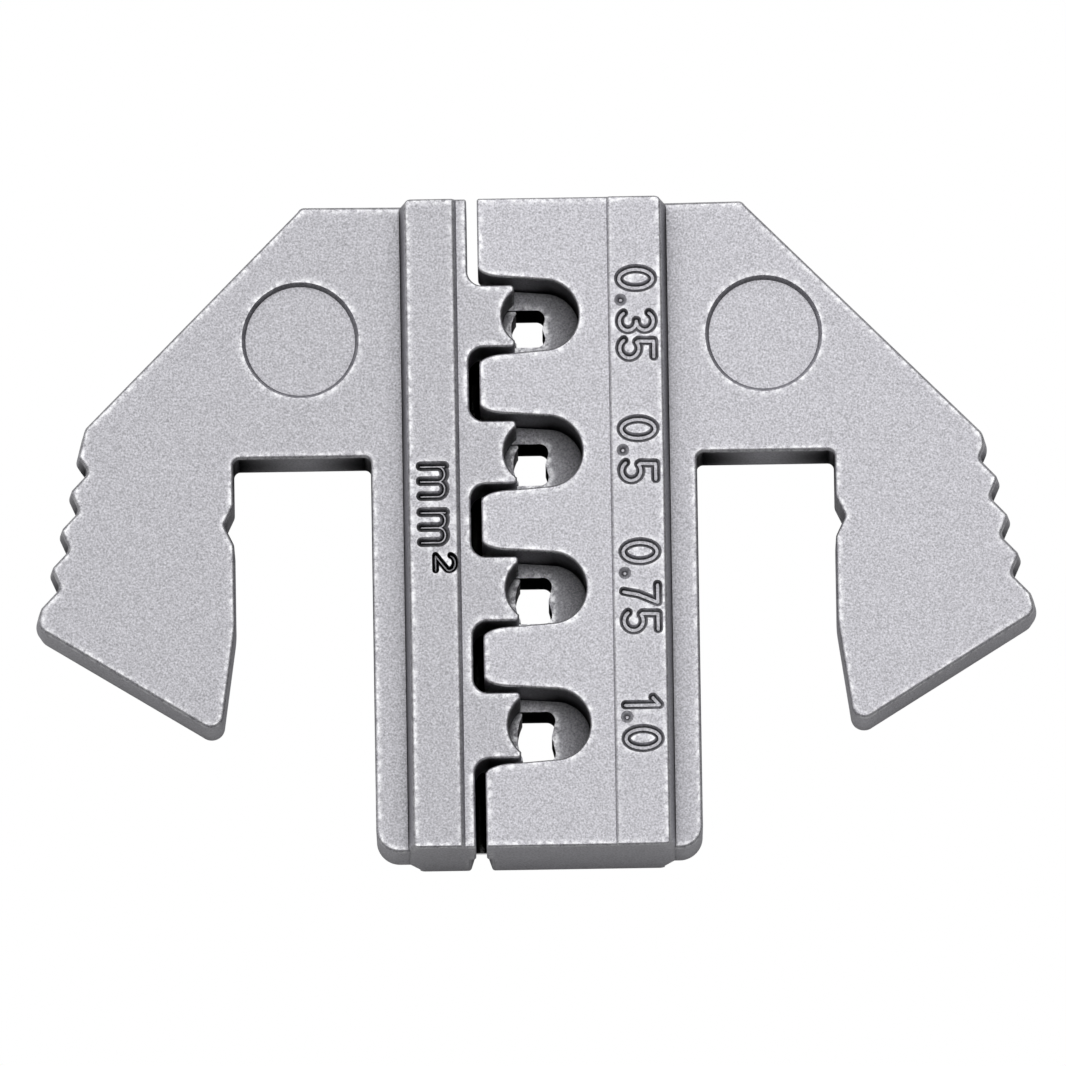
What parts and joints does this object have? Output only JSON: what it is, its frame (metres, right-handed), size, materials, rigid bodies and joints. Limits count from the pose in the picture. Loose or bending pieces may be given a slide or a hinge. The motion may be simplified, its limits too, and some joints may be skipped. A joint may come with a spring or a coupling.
{
  "type": "crimping die pair",
  "caption": "Quick-change crimping die pair: a half with two-stage round nests and a half with matching anvils, each on a slotted wing plate with a serrated finger arm.",
  "frame": {"origin": "under the middle of the pair, on the plane of the die blocks' back faces", "axes": "+X is the closing direction, from the anvil half towards the nest half; +Y runs along the row of nests towards the closed end of the slots; +Z points from the wire stage at the back to the insulation stage at the front"},
  "size_m": [0.0474, 0.0308, 0.009],
  "materials": {
    "nest_half_steel": "blasted, satin grey, with bright worn rims",
    "anvil_half_steel": "blasted, satin grey, with bright worn rims"
  },
  "bodies": {
    "nest_half": {"nest_half": "nest_half_steel"},
    "anvil_half": {"anvil_half": "anvil_half_steel"}
  },
  "joints": [
    {"name": "anvil_half_opening", "type": "slide", "parent": "nest_half", "child": "anvil_half", "axis": [-1, 0, 0], "range_m": [-0.00045, 0.012]}
  ]
}
